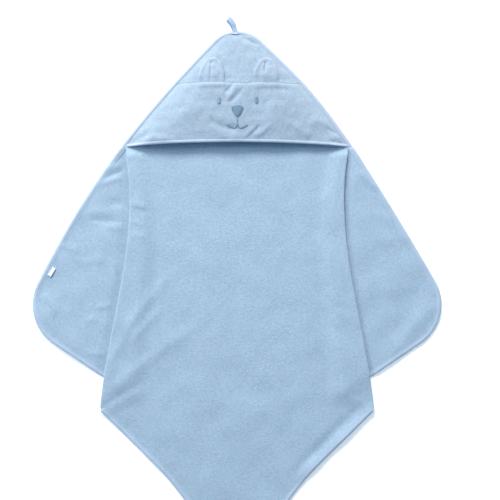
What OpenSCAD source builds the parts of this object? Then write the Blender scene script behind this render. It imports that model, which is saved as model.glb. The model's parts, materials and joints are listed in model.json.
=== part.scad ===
// Hooded baby towel laid open on the floor: one square of terry cloth on its
// diagonal, with a bear-faced hood on the top corner and a bound edge.
// Both side corners are pleated under the middle.
// Millimetres. X points right, Y towards the hood, Z up from the floor.
// One cloth square is cut here where it folds, so that each flap can turn.

/* [Cloth] */

// Thickness of the terry cloth
cloth_t = 2.6; // [2.4:0.1:2.8]
// Thickness of cloth that the binding squeezes
edge_t = 1.6; // [1.2:0.1:1.8]
// Thickness of the binding tape
tape_t = 0.6; // [0.5:0.05:0.65]
// Width of the edge binding
binding_w = 11; // [9:0.5:12]
// Air between two folded layers
layer_gap = 0.3; // [0.2:0.1:0.5]

/* [Outline] */

// Middle of the towel to the tip of the loop, and to the tip of the foot
half_length = 557.5; // [553:0.5:565]
// Height at which the two straight hood edges would meet
hood_point_y = 578; // [572:1:584]
// Radius of the hood's point
hood_r = 90; // [80:1:95]
// Side-to-side half width where hood and wing edges meet
shoulder_x = 247; // [244:1:250]
// Half width at which a wing's two edges would meet
wing_point_x = 464.4; // [455:0.1:475]
// Radius of a wing's corner
wing_r = 100; // [80:1:110]
// Depth of the hidden pleat at its lower end
pleat_depth = 58; // [50:1:62]
// How far the visible fold bows in from its straight chord
fold_bow = 24; // [10:1:26]

/* [Hood] */

// Rise of the hood's face panel at its open edge
face_rise = 19; // [15:0.5:22]
// Rise of the hood along the crown seam
seam_rise = 15; // [12:0.5:16]
// Width of the turned hem along the open edge
hem_w = 6; // [5:0.5:9]

/* [Face and ears] */

// Sideways place of the middle of the face
face_x = 1; // [-4:0.5:6]
// Width of an ear
ear_w = 55; // [48:1:58]
// Height of an ear
ear_h = 53; // [46:1:55]
// Middle of the face to the middle of an ear
ear_x = 56.5; // [54:0.5:60]
// Middle of the face to the middle of an eye
eye_x = 39; // [35:0.5:44]
// Width of the nose
nose_w = 25; // [20:0.5:28]

/* [Loop and label] */

// Width of the hanging loop's tape
loop_w = 9.5; // [8:0.5:12]
// Sideways place of the hanging loop
loop_x = -4; // [-8:1:8]
// Clear height inside the hanging loop
loop_eye = 5.2; // [4.6:0.2:6]
// Length of the blank label
label_l = 20; // [16:1:24]
// Depth of the blank label
label_w = 8; // [6:0.5:9]

/* [Hidden] */

blue = [0.64, 0.76, 0.88];
deep_blue = [0.6, 0.72, 0.85];
lavender = [0.7, 0.76, 0.88];
thread_blue = [0.44, 0.56, 0.68];
tape_white = [0.92, 0.92, 0.94];

// Running gap between parts that only touch
gap = 0.2;
// Wall left at the outer side of a binding
binding_wall = 0.8;
// Height of a binding round one layer, and round the hood's two layers
binding_h = cloth_t + 0.3;
hood_binding_h = binding_h + edge_t + 0.1;
// Room for a squeezed edge inside its binding
slot_clear = 0.03;

// Levels of the three layers of a pleat
under_z = cloth_t / 2;
wedge_z = under_z + cloth_t + layer_gap;
upper_z = wedge_z + cloth_t + layer_gap;
fold_r = (upper_z - wedge_z) / 2;

// The line that the hood turns on, and the line that the foot turns on
hood_line_y = 284;
foot_line_y = -269.5;
body_top = hood_line_y - gap;
body_bottom = foot_line_y + 1;

// The visible fold's chord, from the hood's corner to the foot's corner
chord_top = [235, 281];
chord_low = [288, -267];
chord_dir = (chord_low - chord_top) / norm(chord_low - chord_top);
shoulder = [shoulder_x, 281.5];
wing_point = [wing_point_x, -75.6];
wing_end = [283, -198];
wing_top_y = 280;
foot_corner = [287, -270];
foot_waist = [150, -405];
foot_point = [0, -600];
// Where the flat middle ends and each pleat begins
flat_x = 150;

// Hidden edges of the pleat: where the under layer and the wedge layer end
under_end_y = wing_end[1] - 1;
wedge_end_y = -235;

// Hood panels
hood_t = 2.4;
hood_base_z = 4.7;
hem_low_y = 285.6;
hem_arch = 8.6;
seam_mid_y = 415;
seam_bow = 2;
seam_tape_w = 9;
puff_edge = 0.9;

// Embroidery
thread_t = 0.8;
thread_gap = 0.15;
eye_size = [8, 15];
eye_y = 378.5;
nose_h = 23;
nose_y = 356.5;
stem_top_y = 343;
stem_low_y = 334.5;
smile_reach = 20.7;
smile_drop = 11.5;
thread_w = 2.2;

// Ears
ear_t = 1.9;
ear_base_y = 418;
ear_base_z = hood_base_z + seam_rise + hood_t / 2 + 1;
ear_tilt = 7;

// Hanging loop
loop_t = 0.8;
loop_turn = 30;
loop_h = loop_eye + 2 * loop_t;
loop_z = 0.3;
tack_y = 519.2;

// Label
label_t = 0.6;
label_y = 30;

function lerp(a, b, s) = a + (b - a) * s;
function clamp01(s) = max(0, min(1, s));
function smooth(s) = let (c = clamp01(s)) c * c * (3 - 2 * c);
function unit(v) = v / norm(v);
// The direction a quarter turn anticlockwise from v
function left_of(v) = [-v[1], v[0]];
// The point where the line through p along u crosses the line through q along v
function meet(p, u, q, v) =
    p + u * (cross(q - p, v) / cross(u, v));
// Points on a circle from angle a to angle b
function arc(centre, r, a, b, steps) =
    [for (i = [0:steps]) centre + r * [cos(lerp(a, b, i / steps)), sin(lerp(a, b, i / steps))]];
// A half outline joined to its mirror image, right side first
function both_sides(points) =
    concat(points, [for (i = [len(points) - 1:-1:0]) if (points[i][0] > 0) [-points[i][0], points[i][1]]]);

// Hood outline set in by d: half its point angle, the point's centre and the half width at y
hood_half_angle = atan(shoulder[0] / (hood_point_y - shoulder[1]));
hood_centre_y = hood_point_y - hood_r / sin(hood_half_angle);
hood_top_y = hood_centre_y + hood_r;
crown_top_y = hood_top_y - binding_w - gap - 2;
loop_root_y = hood_top_y + 3.2;
loop_len = (half_length - loop_root_y - loop_w / 2 * sin(loop_turn)) / cos(loop_turn);
function hood_half(y, d) =
    y > hood_centre_y + (hood_r - d) * sin(hood_half_angle)
        ? sqrt(max(1, pow(hood_r - d, 2) - pow(y - hood_centre_y, 2)))
        : (hood_point_y - y) * tan(hood_half_angle) - d / cos(hood_half_angle);
function hood_outline(d, base_y) =
    concat(
        [[hood_half(base_y, d), base_y]],
        arc([0, hood_centre_y], hood_r - d, hood_half_angle, 180 - hood_half_angle, 24),
        [[-hood_half(base_y, d), base_y]]
    );

// Right wing outline set in by d; its inner side lies `over` inside the chord
upper_dir = unit(wing_point - shoulder);
lower_dir = unit(wing_end - wing_point);
wing_half_angle = acos(-upper_dir * lower_dir) / 2;
wing_centre = wing_point + unit(lower_dir - upper_dir) * wing_r / sin(wing_half_angle);
function wing_outline(d, over) =
    let (
        inner = chord_top + left_of(chord_dir) * (gap - over),
        upper = shoulder - left_of(upper_dir) * d,
        lower = wing_end - left_of(lower_dir) * d,
        first = atan2(left_of(upper_dir)[1], left_of(upper_dir)[0]),
        last = atan2(left_of(lower_dir)[1], left_of(lower_dir)[0]),
        crossing = meet(inner, chord_dir, upper, upper_dir),
        top = [0, min(wing_top_y + over, crossing[1] - gap)]
    )
    concat(
        [meet(inner, chord_dir, top, [1, 0]), meet(upper, upper_dir, top, [1, 0])],
        arc(wing_centre, wing_r - d, first, last, 20),
        [meet(lower, lower_dir, inner, chord_dir)]
    );

// Foot outline set in by d, both sides, under the line at top_y
side_dir = unit(foot_waist - foot_corner);
tip_dir = unit(foot_point - foot_waist);
tip_half_angle = atan(foot_waist[0] / (foot_waist[1] - foot_point[1]));
foot_r = (-half_length - foot_point[1]) / (1 / sin(tip_half_angle) - 1);
foot_centre_y = foot_point[1] + foot_r / sin(tip_half_angle);
function foot_outline(d, top_y) =
    let (
        side = foot_corner - left_of(side_dir) * d,
        tip = foot_point - left_of(tip_dir) * d
    )
    both_sides(concat(
        [meet(side, side_dir, [0, top_y], [1, 0]), meet(side, side_dir, tip, tip_dir)],
        arc([0, foot_centre_y], foot_r - d, -tip_half_angle, -90, 8)
    ));

// The chord's, the visible fold's and the hidden fold's distance from the middle at height y
function chord_x(y) = chord_top[0] + (chord_top[1] - y) * chord_dir[0] / -chord_dir[1];
function fold_share(y) = clamp01((chord_top[1] - y) / (chord_top[1] - chord_low[1]));
function fold_x(y) =
    let (s = fold_share(y)) chord_x(y) - fold_bow * 6.75 * s * pow(1 - s, 2);
function hidden_fold_x(y) = fold_x(y) - lerp(4, pleat_depth, fold_share(y)) - 2 * fold_r;

// Middle line of a pleat's cross-section at height y, as [x, z, lowest y of that column]
function pleat_section(y) =
    let (
        ramp_end = hidden_fold_x(y) - 2,
        outer = fold_x(y) - fold_r - cloth_t / 2,
        inner = hidden_fold_x(y) + fold_r + cloth_t / 2
    )
    concat(
        [for (i = [0:7]) [lerp(flat_x + gap, ramp_end, i / 7), lerp(under_z, upper_z, smooth(i / 7))]],
        arc([outer, (upper_z + wedge_z) / 2], fold_r, 90, -90, 6),
        arc([inner, (wedge_z + under_z) / 2], fold_r, 90, 270, 6),
        [[chord_x(y) - gap, under_z]]
    );
// How far down each column of that cross-section runs
pleat_low_y = concat(
    [for (i = [0:14]) body_bottom],
    [for (i = [0:6]) wedge_end_y],
    [under_end_y]
);

// A flat path moved sideways by s, square to itself at each point
function shifted(path, s) =
    [for (i = [0:len(path) - 1])
        path[i] + left_of(unit(path[min(i + 1, len(path) - 1)] - path[max(i - 1, 0)])) * s];

// Hood surface: hem and seam heights, the point at (u, y), and its middle level
function hem_y(u) = hem_low_y + hem_arch * (1 - u * u);
function seam_y(u) = seam_mid_y + seam_bow * u * u;
function hood_x(u, y) = u * hood_half(y, binding_w + gap);
function puff(u) = pow(1 - pow(min(1, abs(u) / puff_edge), 2.4), 1.3);
function face_z(u, y) =
    hood_base_z + puff(u) * lerp(face_rise, seam_rise, clamp01((y - hem_y(u)) / (seam_y(u) - hem_y(u))));
function crown_z(u, y) =
    hood_base_z + puff(u) * seam_rise * (1 - pow(clamp01((y - seam_y(u)) / (crown_top_y - seam_y(u))), 1.5));
// Top of the face panel at a plain place
function face_top(x, y) = face_z(x / hood_half(y, binding_w + gap), y) + hood_t / 2;

// Right ear outline, from its base upwards
function ear_outline(d) =
    let (half = ear_w / 2 - d, side = ear_h - ear_w / 2)
    concat([[half - 3, 0], [half, side]], arc([0, side], half, 12, 168, 12), [[-half, side], [3 - half, 0]]);

// A closed solid between two grids of points; rows run along the first index
module skin(upper, lower) {
    rows = len(upper);
    cols = len(upper[0]);
    last = rows - 1;
    side = cols - 1;
    low = rows * cols;
    function quad(a, b, c, d) = [[a, b, c], [a, c, d]];
    polyhedron(
        points = concat([for (row = upper) each row], [for (row = lower) each row]),
        faces = concat(
            [for (i = [0:last - 1], j = [0:side - 1])
                let (a = i * cols + j) each quad(a, a + 1, a + cols + 1, a + cols)],
            [for (i = [0:last - 1], j = [0:side - 1])
                let (a = low + i * cols + j) each quad(a, a + cols, a + cols + 1, a + 1)],
            [for (i = [0:last - 1])
                let (a = i * cols) each quad(a, a + cols, a + low + cols, a + low)],
            [for (i = [0:last - 1])
                let (a = i * cols + side) each quad(a, a + low, a + low + cols, a + cols)],
            [for (j = [0:side - 1]) each quad(j, j + low, j + low + 1, j + 1)],
            [for (j = [0:side - 1])
                let (a = last * cols + j) each quad(a, a + 1, a + low + 1, a + low)]
        ),
        convexity = 8
    );
}

// A flat panel whose bound edge is squeezed thinner
module bound_panel(inside, squeezed) {
    linear_extrude(cloth_t) polygon(inside);
    translate([0, 0, (cloth_t - edge_t) / 2]) linear_extrude(edge_t) polygon(squeezed);
}

// A folded tape round a panel's edge, open towards the panel
module edge_binding(outside, inside, slot, height) {
    slot_z = (cloth_t - edge_t) / 2 - slot_clear;
    difference() {
        linear_extrude(height) difference() {
            polygon(outside);
            polygon(inside);
        }
        translate([0, 0, slot_z]) linear_extrude(height - 2 * slot_z - 0.24) polygon(slot);
    }
}

// The flat middle of the square
module centre_panel() {
    color(blue) linear_extrude(cloth_t)
        polygon([[-flat_x, body_bottom], [flat_x, body_bottom], [flat_x, body_top], [-flat_x, body_top]]);
}

// The square's folded side: up a ramp, under at the visible fold, out again at the hidden fold
module right_pleat() {
    rows = 20;
    top_y = body_top - 3;
    function face(s) =
        [for (i = [0:rows])
            [for (j = [0:len(pleat_low_y) - 1])
                let (y = lerp(top_y, pleat_low_y[j], i / rows), p = shifted(pleat_section(y), s)[j])
                [p[0], y, p[1]]]];
    color(blue) skin(face(cloth_t / 2), face(-cloth_t / 2));
}

module left_pleat() {
    mirror([1, 0, 0]) right_pleat();
}

module right_wing_panel() {
    color(blue) bound_panel(wing_outline(binding_w + gap, 0), wing_outline(1, 0));
}

module left_wing_panel() {
    mirror([1, 0, 0]) right_wing_panel();
}

module right_wing_binding() {
    color(lavender) edge_binding(
        wing_outline(0, 0), wing_outline(binding_w, 1), wing_outline(binding_wall, 1), binding_h
    );
}

module left_wing_binding() {
    mirror([1, 0, 0]) right_wing_binding();
}

// The lower corner, below the line it folds on
module foot_panel() {
    top = foot_line_y - 1;
    color(deep_blue) bound_panel(foot_outline(binding_w + gap, top), foot_outline(1, top));
}

module foot_binding() {
    top = foot_line_y - 1;
    color(lavender) edge_binding(
        foot_outline(0, top), foot_outline(binding_w, top + 1), foot_outline(binding_wall, top + 1), binding_h
    );
}

// The upper corner, behind the pocket
module hood_back_panel() {
    base = hood_line_y + 0.6;
    color(deep_blue) bound_panel(hood_outline(binding_w + gap, base), hood_outline(1, base));
}

// The pocket's squeezed seam margin, held in the binding above the back panel's edge
module hood_seam_margin() {
    base = hood_line_y + 0.6;
    color(deep_blue) translate([0, 0, (cloth_t + edge_t) / 2 + 0.1]) linear_extrude(edge_t) difference() {
        polygon(hood_outline(1, base));
        polygon(hood_outline(binding_w, base - 1));
    }
}

module hood_binding() {
    base = hood_line_y + 0.6;
    color(lavender) edge_binding(
        hood_outline(0, base), hood_outline(binding_w, base - 1),
        hood_outline(binding_wall, base - 1), hood_binding_h
    );
}

// The pocket's lower panel, which carries the face
module hood_face_panel() {
    rows = 10;
    cols = 24;
    function face(s) =
        [for (i = [0:rows])
            [for (j = [-cols / 2:cols / 2])
                let (u = j * 2 / cols, y = lerp(hem_y(u), seam_y(u) - gap, i / rows))
                [hood_x(u, y), y, face_z(u, y) + s]]];
    color(blue) skin(face(hood_t / 2), face(-hood_t / 2));
}

// The pocket's upper panel, above the crown seam
module hood_crown_panel() {
    rows = 8;
    cols = 24;
    function face(s) =
        [for (i = [0:rows])
            [for (j = [-cols / 2:cols / 2])
                let (u = j * 2 / cols, y = lerp(seam_y(u), crown_top_y, i / rows))
                [hood_x(u, y), y, crown_z(u, y) + s]]];
    color(blue) skin(face(hood_t / 2), face(-hood_t / 2));
}

// The tape that covers the crown seam inside the pocket
module crown_seam_tape() {
    cols = 20;
    reach = 0.8;
    function face(drop) =
        [for (side = [-1, 0, 1])
            [for (j = [-cols / 2:cols / 2])
                let (u = j * 2 / cols * reach, y = seam_y(u) + side * seam_tape_w / 2)
                [hood_x(u, y), y, (side > 0 ? crown_z(u, y) : face_z(u, y)) - hood_t / 2 - drop]]];
    color(lavender) skin(face(0.3), face(0.3 + tape_t));
}

// The turned hem: a tape folded round the pocket's open edge
module hood_hem() {
    cols = 24;
    lift = hood_t / 2 + gap + tape_t / 2;
    function section(u) =
        let (edge = hem_y(u) - 0.1)
        concat(
            [for (d = [hem_w, hem_w / 2, 0]) [edge + d, face_z(u, edge + d) + lift]],
            [for (a = [60, 20, -20, -60]) [edge - lift * cos(a) * 0.6, face_z(u, edge) + lift * sin(a)]],
            [for (d = [0, hem_w / 2, hem_w]) [edge + d, face_z(u, edge + d) - lift]]
        );
    function face(s) =
        [for (j = [-cols / 2:cols / 2])
            let (u = j * 2 / cols, path = shifted(section(u), s))
            [for (p = path) [hood_x(u, max(p[0], hem_y(u))), p[0], p[1]]]];
    color(lavender) skin(face(-tape_t / 2), face(tape_t / 2));
}

// A raised pad of satin stitches that follows the face; half sizes at v from -1 below to 1 above
module stitched_pad(centre, half_h, half_w_low, half_w_high) {
    steps = 6;
    function face(lift) =
        [for (i = [-steps:2:steps])
            [for (j = [-steps:2:steps])
                let (
                    a = j / steps,
                    b = i / steps,
                    x = centre[0] + a * sqrt(1 - b * b / 2) * lerp(half_w_low, half_w_high, (b + 1) / 2),
                    y = centre[1] + b * sqrt(1 - a * a / 2) * half_h
                )
                [x, y, face_top(x, y) + lift]]];
    color(thread_blue) skin(face(thread_gap + thread_t), face(thread_gap));
}

module left_eye() {
    stitched_pad([face_x - eye_x, eye_y], eye_size[1] / 2, eye_size[0] / 2, eye_size[0] / 2);
}

module right_eye() {
    stitched_pad([face_x + eye_x, eye_y], eye_size[1] / 2, eye_size[0] / 2, eye_size[0] / 2);
}

module nose() {
    stitched_pad([face_x, nose_y], nose_h / 2, nose_w * 0.2, nose_w * 0.58);
}

// A stitched line that follows the face through the given points
module stitched_line(points) {
    function face(lift) =
        [for (s = [1, -1])
            [for (p = shifted(points, s * thread_w / 2)) [p[0], p[1], face_top(p[0], p[1]) + lift]]];
    color(thread_blue) skin(face(thread_gap), face(thread_gap + thread_t));
}

module mouth_stem() {
    stitched_line([for (i = [0:3]) [face_x, lerp(stem_top_y, stem_low_y, i / 3)]]);
}

// Two hanging curves that meet under the stem
module mouth_smile() {
    steps = 24;
    stitched_line([for (i = [-steps / 2:steps / 2])
        let (s = i * 2 / steps)
        [face_x + s * smile_reach, stem_low_y - 2 - smile_drop * sin(155 * sqrt(abs(s)))]]);
}

// One layer of an ear, lying on the crown
module ear_layer(side, level, inset) {
    translate([face_x + side * ear_x, ear_base_y, ear_base_z])
        rotate([-ear_tilt, 0, 0])
            translate([0, 0, level])
                linear_extrude(ear_t) polygon(ear_outline(inset));
}

module left_ear_back() {
    color(deep_blue) ear_layer(-1, 0, 0);
}

module left_ear_front() {
    color(blue) ear_layer(-1, ear_t + 0.1, 0.8);
}

module right_ear_back() {
    color(deep_blue) ear_layer(1, 0, 0);
}

module right_ear_front() {
    color(blue) ear_layer(1, ear_t + 0.1, 0.8);
}

// A flat shape with two round ends, from x = first to x = last
module round_slot(r, first, last) {
    translate([first + r, -r]) square([last - first - 2 * r, 2 * r]);
    for (x = [first + r, last - r]) translate([x, 0]) circle(r, $fn = 48);
}

// The tape loop seen from its side, long axis along +X
module loop_profile() {
    difference() {
        round_slot(loop_h / 2, 0, loop_len);
        round_slot(loop_eye / 2, loop_t, loop_len - loop_t);
    }
}

module hanging_loop() {
    color(lavender) translate([loop_x, loop_root_y, loop_z + loop_h / 2])
        rotate([0, 0, 90 + loop_turn])
            translate([0, loop_w / 2, 0])
                rotate([90, 0, 0])
                    linear_extrude(loop_w) loop_profile();
}

// Dense stitches that hold the loop's root on the binding
module loop_bar_tack() {
    length = 11;
    width = 2.6;
    color(thread_blue) translate([loop_x - length / 2, tack_y, hood_binding_h + 0.1])
        linear_extrude(0.9) square([length, width]);
}

// The blank label, sewn along the inner edge of the left binding
module care_label() {
    t = (label_y - shoulder[1]) / upper_dir[1];
    edge = shoulder + upper_dir * t - left_of(upper_dir) * (binding_w + gap);
    color(tape_white) mirror([1, 0, 0])
        translate([edge[0], edge[1], binding_h + 0.05])
            rotate([0, 0, atan2(upper_dir[1], upper_dir[0])])
                translate([-label_l / 2, -label_w, 0])
                    linear_extrude(label_t) square([label_l, label_w]);
}

centre_panel();
left_pleat();
right_pleat();
left_wing_panel();
left_wing_binding();
right_wing_panel();
right_wing_binding();
foot_panel();
foot_binding();
hood_back_panel();
hood_seam_margin();
hood_binding();
hood_face_panel();
hood_crown_panel();
crown_seam_tape();
hood_hem();
left_eye();
right_eye();
nose();
mouth_stem();
mouth_smile();
left_ear_back();
left_ear_front();
right_ear_back();
right_ear_front();
hanging_loop();
loop_bar_tack();
care_label();
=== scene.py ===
"""Cloth shapes and looks of the hooded baby towel. Shape numbers are millimetres; meshes are metres."""
import json
import math

import bpy
import numpy as np
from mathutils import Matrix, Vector


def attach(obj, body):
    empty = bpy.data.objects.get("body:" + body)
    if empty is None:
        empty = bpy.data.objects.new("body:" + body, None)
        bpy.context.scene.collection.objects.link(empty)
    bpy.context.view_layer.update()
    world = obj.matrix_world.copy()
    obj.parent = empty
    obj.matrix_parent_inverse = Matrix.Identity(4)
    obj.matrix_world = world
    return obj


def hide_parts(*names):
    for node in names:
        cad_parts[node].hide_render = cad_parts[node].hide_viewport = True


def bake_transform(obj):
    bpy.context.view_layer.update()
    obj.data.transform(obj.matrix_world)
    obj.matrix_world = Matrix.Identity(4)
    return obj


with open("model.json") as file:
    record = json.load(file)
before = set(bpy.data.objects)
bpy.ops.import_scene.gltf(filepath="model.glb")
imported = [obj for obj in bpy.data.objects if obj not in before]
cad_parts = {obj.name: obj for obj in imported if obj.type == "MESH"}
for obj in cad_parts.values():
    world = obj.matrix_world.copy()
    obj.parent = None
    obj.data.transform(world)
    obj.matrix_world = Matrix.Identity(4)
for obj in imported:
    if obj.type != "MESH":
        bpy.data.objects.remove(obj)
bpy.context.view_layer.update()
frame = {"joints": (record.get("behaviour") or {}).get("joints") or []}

MM = 0.001
HINGES = {j["name"]: np.array(j["pos_m"], float) / MM for j in frame["joints"]}

# ---------------------------------------------------------------- sizes, as the CAD has them

CLOTH = 2.6
LAYER = CLOTH + 0.3
FLOOR_Z = CLOTH / 2
HOOD_LINE = HINGES["hood_lift"][1]
FOOT_LINE = HINGES["foot_fold"][1]
HOOD_POINT, HOOD_ROUND = (0, 566.5), 72
SHOULDER = (247, 281.5)
WING_POINT, WING_ROUND = (464.4, -75.6), 100
WING_END = (283, -198)
FOOT_CORNER, FOOT_WAIST, FOOT_POINT, FOOT_ROUND = (287, -270), (150, -405), (0, -600), 66
CHORD_TOP, CHORD_LOW = np.array([235.0, 281.0]), np.array([288.0, -267.0])
PLEAT_TOP, PLEAT_DEPTH, FOLD_BOW = 4, 58, 24
FOLD_OUT = LAYER / 2 + CLOTH / 2
UNDER_SLOPE = 0.675
WEDGE_CORNER, WEDGE_SLOPE = (230, -250), 0.5

# ---------------------------------------------------------------- details, read from the photo

# How far the straight edges bow out, and how far the hood's sides lean.
HOOD_BOW, WING_BOWS = 7.2, {-1: 7.0, 1: 2.0}
HOOD_LEAN, LEAN_FROM, LEAN_SPAN = 4.0, 300, 225
HEM_LOW, HEM_ARCH = 285.6, 8.6
SEAM_MID, SEAM_DIP = 417, 2.2
# Each ear's middle and half width, left and right.
EAR_TOP, EAR_PLACES = 470.3, {-1: (-53.5, 27.0), 1: (59.5, 25.8)}
FACE_X = 1.2
EYES = {"left": (-38.2, 378.4), "right": (39.4, 379)}
EYE_HALF_WIDTH, EYE_HALF_HEIGHT = 3.7, 6.8
NOSE_Y, NOSE_HALF_WIDTH, NOSE_HALF_HEIGHT, NOSE_RIM = 356.4, 11.7, 11.3, 11.6
MOUTH_TOP, MOUTH_FORK = 345, 334
SMILE_HALF, SMILE_TOP, SMILE_DROP, SMILE_SWEEP = 21, 333, 11.6, 155

# ---------------------------------------------------------------- limits of the sheets

# Half widths of the strips that bend at a hinge.
WING_BEND, FOOT_BEND, HOOD_BEND, LOOP_BEND = 8, 7, 3.5, 3
TOWEL_TOP, TOWEL_LOW = HOOD_LINE - HOOD_BEND, FOOT_LINE + FOOT_BEND
# How far inside the outline the single sheets, the hood's front and its hem end.
SHEET_IN, FRONT_IN, HEM_IN = 2.0, 6.0, 6.5
# Heights in the plan at which sheets end under the binding or inside a pleat.
PUFF_TOP, BACK_TOP, CROWN_TOP = 528.5, 525.0, 519.0
WEDGE_LOW, UNDER_LOW, WING_LOW, WING_TAPE_LOW, FOOT_LOW = -236, -222, -213.0, -205, -553.0

# ---------------------------------------------------------------- small maths


def smooth(s):
    """A soft step from 0 at s = 0 to 1 at s = 1."""
    s = np.clip(s, 0, 1)
    return s * s * (3 - 2 * s)


def lerp(a, b, s):
    return a + (b - a) * s


def ripple(x, y, seed, wave, size):
    """A gentle uneven surface, from 0 to size, with bumps about `wave` across."""
    rng = np.random.default_rng(seed)
    total = np.zeros(np.broadcast(x, y).shape)
    for _ in range(6):
        turn, shift = rng.uniform(0, math.pi), rng.uniform(0, 2 * math.pi)
        k = 2 * math.pi / (wave * rng.uniform(0.7, 1.5))
        total = total + np.sin(k * (x * math.cos(turn) + y * math.sin(turn)) + shift)
    return size * np.clip(0.5 + total / 7, 0, 1)


def ridges(x, y, strokes):
    """Sum of soft folds. Each stroke is (x0, y0, x1, y1, height, width, bow)."""
    total = np.zeros(np.broadcast(x, y).shape)
    for x0, y0, x1, y1, height, width, bow in strokes:
        along = np.array([x1 - x0, y1 - y0], float)
        length = np.linalg.norm(along)
        ux, uy = along / length
        s = ((x - x0) * ux + (y - y0) * uy) / length
        arch = bow * 4 * np.clip(s, 0, 1) * (1 - np.clip(s, 0, 1))
        off = -(x - x0) * uy + (y - y0) * ux - arch
        ends = smooth(s / 0.3) * smooth((1 - s) / 0.3)
        total = total + height * np.exp(-((off / width) ** 2)) * ends
    return total


def corner(a, b, c, radius, steps):
    """Points of the round that replaces corner b of the path a-b-c."""
    a, b, c = (np.array(p, float) for p in (a, b, c))
    ua, uc = (a - b) / np.linalg.norm(a - b), (c - b) / np.linalg.norm(c - b)
    half = math.acos(float(ua @ uc)) / 2
    mid = (ua + uc) / np.linalg.norm(ua + uc)
    centre = b + mid * radius / math.sin(half)
    first = b + ua * radius / math.tan(half) - centre
    start = math.atan2(first[1], first[0])
    sweep = (math.pi - 2 * half) * np.sign(ua[0] * uc[1] - ua[1] * uc[0]) * -1
    angles = start + sweep * np.linspace(0, 1, steps)
    return centre + radius * np.stack([np.cos(angles), np.sin(angles)], 1)


def dense(points, step=3.0):
    """The same path with points about `step` apart."""
    points = np.array(points, float)
    run = np.concatenate([[0], np.cumsum(np.linalg.norm(np.diff(points, axis=0), axis=1))])
    at = np.linspace(0, run[-1], max(2, int(run[-1] / step)))
    return np.stack([np.interp(at, run, points[:, k]) for k in range(points.shape[1])], 1)


def inward(path, side):
    """Unit normals of a flat path; side 1 points left of travel, -1 right."""
    t = np.gradient(path, axis=0)
    t /= np.linalg.norm(t, axis=1)[:, None]
    return side * np.stack([-t[:, 1], t[:, 0]], 1)


def inset(path, side, d):
    """The path moved d inward."""
    return path + inward(path, side) * d


def mirrored(path):
    """The same path on the other side, travelled the other way."""
    return path[::-1] * np.array([-1, 1])


def half_at(path, side, y, d):
    """Half width at height y of an outline whose y falls or rises all the way, set in by d."""
    p = inset(path, side, d)
    order = np.argsort(p[:, 1])
    return np.interp(y, p[order, 1], p[order, 0])


# ---------------------------------------------------------------- outlines, right side


def bulged(path, size):
    """Bows a path outwards (to its left) by `size` in its middle."""
    s = np.linspace(0, 1, len(path))
    return path + inward(path, 1) * (size * np.sin(math.pi * s))[:, None] * -1


def hood_half_outline():
    """From the shoulder up to the hood's top."""
    round_it = corner(SHOULDER, HOOD_POINT, (-SHOULDER[0], SHOULDER[1]), HOOD_ROUND, 57)[:29]
    line = bulged(dense([SHOULDER, round_it[0]]), HOOD_BOW)
    return dense(np.concatenate([line[:-1], round_it]), 2.5)


def wing_half_outline(bow):
    """From the shoulder down round the wing to where its edge goes under the fold, and on a little."""
    run_on = 0.065
    low = np.array(WING_END) + (np.array(WING_END) - WING_POINT) * run_on
    round_it = corner(SHOULDER, WING_POINT, WING_END, WING_ROUND, 60)
    line = bulged(dense([SHOULDER, round_it[0]])[::-1], bow)[::-1]
    return dense(np.concatenate([HOOD[2:0:-1], line[:-1], round_it, [low]]), 2.5)


def foot_half_outline():
    """From the foot's side corner down to its tip."""
    round_it = corner(FOOT_WAIST, FOOT_POINT, (-FOOT_WAIST[0], FOOT_WAIST[1]), FOOT_ROUND, 41)[:21]
    waist_round = 500
    waist = corner(FOOT_CORNER, FOOT_WAIST, FOOT_POINT, waist_round, 16)
    return dense(np.concatenate([[FOOT_CORNER], waist, round_it]), 2.5)


HOOD = hood_half_outline()
WINGS = {side: wing_half_outline(bow) for side, bow in WING_BOWS.items()}
FOOT = foot_half_outline()


def hood_half(y, d=0.0):
    return half_at(HOOD, 1, y, d)


def hood_lean(y):
    """The hood's sides stand a little to the right of its middle."""
    return HOOD_LEAN * np.sin(math.pi * np.clip((y - LEAN_FROM) / LEAN_SPAN, 0, 1))


def hood_across(u, y, d):
    """Place on the hood for u from -1, the left edge, to 1."""
    return u * hood_half(y, d) + np.abs(u) * hood_lean(y)


def wing_half(side, y, d=0.0):
    return half_at(WINGS[side], -1, y, d)


def foot_half(y, d=0.0):
    return np.where(y > FOOT_CORNER[1], FOOT_CORNER[0] - d, half_at(FOOT, -1, y, d))


# ---------------------------------------------------------------- the pleated middle


def fold_share(y):
    """0 at the shoulder end of the fold's chord and 1 at its lower end."""
    return np.clip((CHORD_TOP[1] - y) / (CHORD_TOP[1] - CHORD_LOW[1]), 0, 1)


def chord_x(y):
    """The wing's straight fold line, as the CAD has it."""
    slope = (CHORD_LOW[0] - CHORD_TOP[0]) / (CHORD_TOP[1] - CHORD_LOW[1])
    return CHORD_TOP[0] + (CHORD_TOP[1] - y) * slope


def fold_x(y):
    """How far out the visible fold lies. Its bow is deepest, FOLD_BOW, a third of the way down."""
    s = fold_share(y)
    return chord_x(y) - FOLD_BOW * 6.75 * s * (1 - s) ** 2


def hidden_fold_x(y):
    """How far out the pleat's inner fold lies."""
    return fold_x(y) - lerp(PLEAT_TOP, PLEAT_DEPTH, fold_share(y)) - LAYER


def under_edge_y(x):
    """Lower edge of the under layer of a pleat, where the wing's edge runs on."""
    return WING_END[1] - (WING_END[0] - x) * UNDER_SLOPE


def wedge_edge_y(x):
    """Lower edge of the wedge layer of a pleat."""
    return WEDGE_CORNER[1] - (x - WEDGE_CORNER[0]) * WEDGE_SLOPE


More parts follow.
